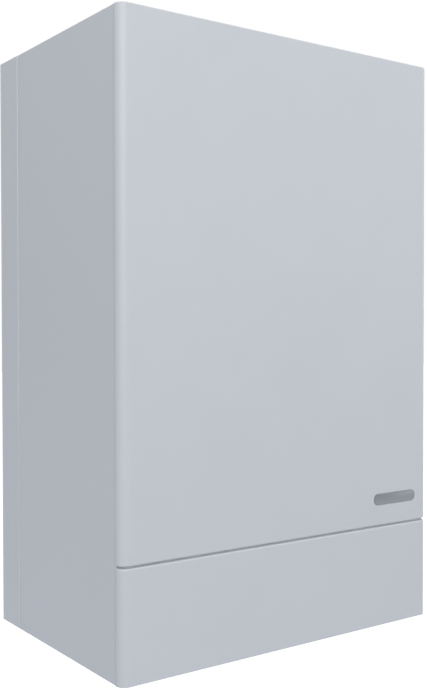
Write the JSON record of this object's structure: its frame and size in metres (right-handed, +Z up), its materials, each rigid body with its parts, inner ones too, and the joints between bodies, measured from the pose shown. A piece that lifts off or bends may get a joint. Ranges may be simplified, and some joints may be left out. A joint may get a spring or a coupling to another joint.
{
  "type": "combi boiler",
  "caption": "Wall-hung combi boiler in a white steel case: pull-off front panel, fold-down flap over a hinged control box, burner, fan, pump, valves and pipe tails inside.",
  "frame": {"origin": "midway between the two fixing holes of the wall bracket, on the wall plane", "axes": "+X to the right seen from the front, +Y into the wall (the front faces -Y), +Z up"},
  "size_m": [0.55, 0.36, 0.904],
  "materials": {
    "white_enamel": "fine textured powder coat",
    "zinc_sheet": "galvanised sheet",
    "steel": "bright steel",
    "foam": "black foam",
    "badge": "satin, bare",
    "grey_plastic": "moulded",
    "dark_plastic": "moulded",
    "knob_plastic": "moulded",
    "red_plastic": "moulded",
    "board": "printed circuit board",
    "glass": "clear",
    "magnet": "ferrite",
    "fibre": "fibre board",
    "copper": "bright copper",
    "brass": "cast brass",
    "aluminium": "die cast",
    "stainless": "pressed stainless",
    "red_paint": "stoved red",
    "cast_paint": "dark enamel",
    "porcelain": "glazed"
  },
  "bodies": {
    "case": {"wall_bracket": "zinc_sheet", "rear_frame": "white_enamel", "side_panel_left": "white_enamel", "side_panel_right": "white_enamel", "top_panel": "white_enamel", "front_crossbar": "zinc_sheet", "bottom_tray": "zinc_sheet", "partition_shelf": "zinc_sheet", "hinge_rod": "steel", "case_screws": "steel", "combustion_chamber": "zinc_sheet", "chamber_door": "zinc_sheet", "sight_glass": "glass", "chamber_insulation": "fibre", "burner": "stainless", "gas_manifold": "aluminium", "electrodes": "porcelain", "heat_exchanger": "copper", "flue_hood": "zinc_sheet", "fan_housing": "aluminium", "fan_motor": "cast_paint", "flue_collar": "aluminium", "inner_flue_duct": "aluminium", "air_pressure_switch": "grey_plastic", "expansion_vessel": "red_paint", "pump_body": "cast_paint", "air_vent": "brass", "flow_block": "brass", "diverter_motor": "dark_plastic", "return_block": "brass", "plate_exchanger": "stainless", "gas_valve": "aluminium", "valve_bodies": "brass", "copper_pipes": "copper", "cable_gland": "dark_plastic"},
    "front_panel": {"front_panel": "white_enamel", "panel_seal": "foam", "panel_studs": "steel", "badge_plate": "badge"},
    "control_box": {"control_tray": "dark_plastic", "control_fascia": "grey_plastic", "circuit_board": "board", "pressure_gauge": "dark_plastic", "gauge_lens": "glass", "flap_magnets": "magnet"},
    "flap": {"lower_flap": "white_enamel"},
    "mode_knob": {"mode_knob": "knob_plastic"},
    "heating_knob": {"heating_knob": "knob_plastic"},
    "hot_water_knob": {"hot_water_knob": "knob_plastic"},
    "reset_button": {"reset_button": "red_plastic"},
    "gauge_needle": {"gauge_needle": "red_plastic"},
    "fan_impeller": {"fan_impeller": "zinc_sheet"},
    "pump_rotor": {"pump_rotor": "steel"},
    "diverter_spindle": {"diverter_spindle": "steel"},
    "flow_valve_handle": {"flow_valve_handle": "red_plastic"},
    "gas_valve_handle": {"gas_valve_handle": "red_plastic"},
    "cold_valve_handle": {"cold_valve_handle": "red_plastic"},
    "return_valve_handle": {"return_valve_handle": "red_plastic"},
    "relief_knob": {"relief_knob": "red_plastic"},
    "filling_knob": {"filling_knob": "dark_plastic"}
  },
  "joints": [
    {"name": "control_box_hinge", "type": "hinge", "parent": "case", "child": "control_box", "pos_m": [0, -0.356, -0.766], "axis": [-1, 0, 0], "range_deg": [-90, 0]},
    {"name": "flap_hinge", "type": "hinge", "parent": "control_box", "child": "flap", "pos_m": [0, -0.356, -0.766], "axis": [1, 0, 0], "range_deg": [0, 90]},
    {"name": "front_panel_pull", "type": "slide", "parent": "case", "child": "front_panel", "axis": [0, -1, 0], "range_m": [0, 0.3]},
    {"name": "mode_knob_turn", "type": "hinge", "parent": "control_box", "child": "mode_knob", "pos_m": [-0.095, -0.342, -0.698], "axis": [0, 1, 0], "range_deg": [-90, 90]},
    {"name": "heating_knob_turn", "type": "hinge", "parent": "control_box", "child": "heating_knob", "pos_m": [-0.035, -0.342, -0.698], "axis": [0, 1, 0], "range_deg": [-135, 135]},
    {"name": "hot_water_knob_turn", "type": "hinge", "parent": "control_box", "child": "hot_water_knob", "pos_m": [0.025, -0.342, -0.698], "axis": [0, 1, 0], "range_deg": [-135, 135]},
    {"name": "reset_button_push", "type": "slide", "parent": "control_box", "child": "reset_button", "axis": [0, 1, 0], "range_m": [0, 0.0025], "stiffness_N_per_m": 400},
    {"name": "gauge_needle_turn", "type": "hinge", "parent": "control_box", "child": "gauge_needle", "pos_m": [-0.175, -0.339, -0.698], "axis": [0, 1, 0], "range_deg": [0, 270]},
    {"name": "fan_spin", "type": "hinge", "parent": "case", "child": "fan_impeller", "pos_m": [-0.028, -0.215, 0.016], "axis": [0, 1, 0], "continuous": true},
    {"name": "pump_spin", "type": "hinge", "parent": "case", "child": "pump_rotor", "pos_m": [0.13, -0.15, -0.535], "axis": [0, 1, 0], "continuous": true},
    {"name": "diverter_slide", "type": "slide", "parent": "case", "child": "diverter_spindle", "axis": [0, 1, 0], "range_m": [0, 0.005]},
    {"name": "flow_valve_turn", "type": "hinge", "parent": "case", "child": "flow_valve_handle", "pos_m": [-0.1625, -0.138, -0.728], "axis": [0, 1, 0], "range_deg": [0, 90]},
    {"name": "gas_valve_turn", "type": "hinge", "parent": "case", "child": "gas_valve_handle", "pos_m": [-0.0325, -0.138, -0.728], "axis": [0, 1, 0], "range_deg": [0, 90]},
    {"name": "cold_valve_turn", "type": "hinge", "parent": "case", "child": "cold_valve_handle", "pos_m": [0.0325, -0.138, -0.728], "axis": [0, 1, 0], "range_deg": [0, 90]},
    {"name": "return_valve_turn", "type": "hinge", "parent": "case", "child": "return_valve_handle", "pos_m": [0.0975, -0.138, -0.728], "axis": [0, 1, 0], "range_deg": [0, 90]},
    {"name": "relief_knob_turn", "type": "hinge", "parent": "case", "child": "relief_knob", "pos_m": [0.1625, -0.18, -0.648], "axis": [0, -1, 0], "range_deg": [0, 90]},
    {"name": "filling_knob_turn", "type": "hinge", "parent": "case", "child": "filling_knob", "pos_m": [0.065, -0.11, -0.734], "axis": [0, 0, 1], "range_deg": [0, 90]}
  ]
}
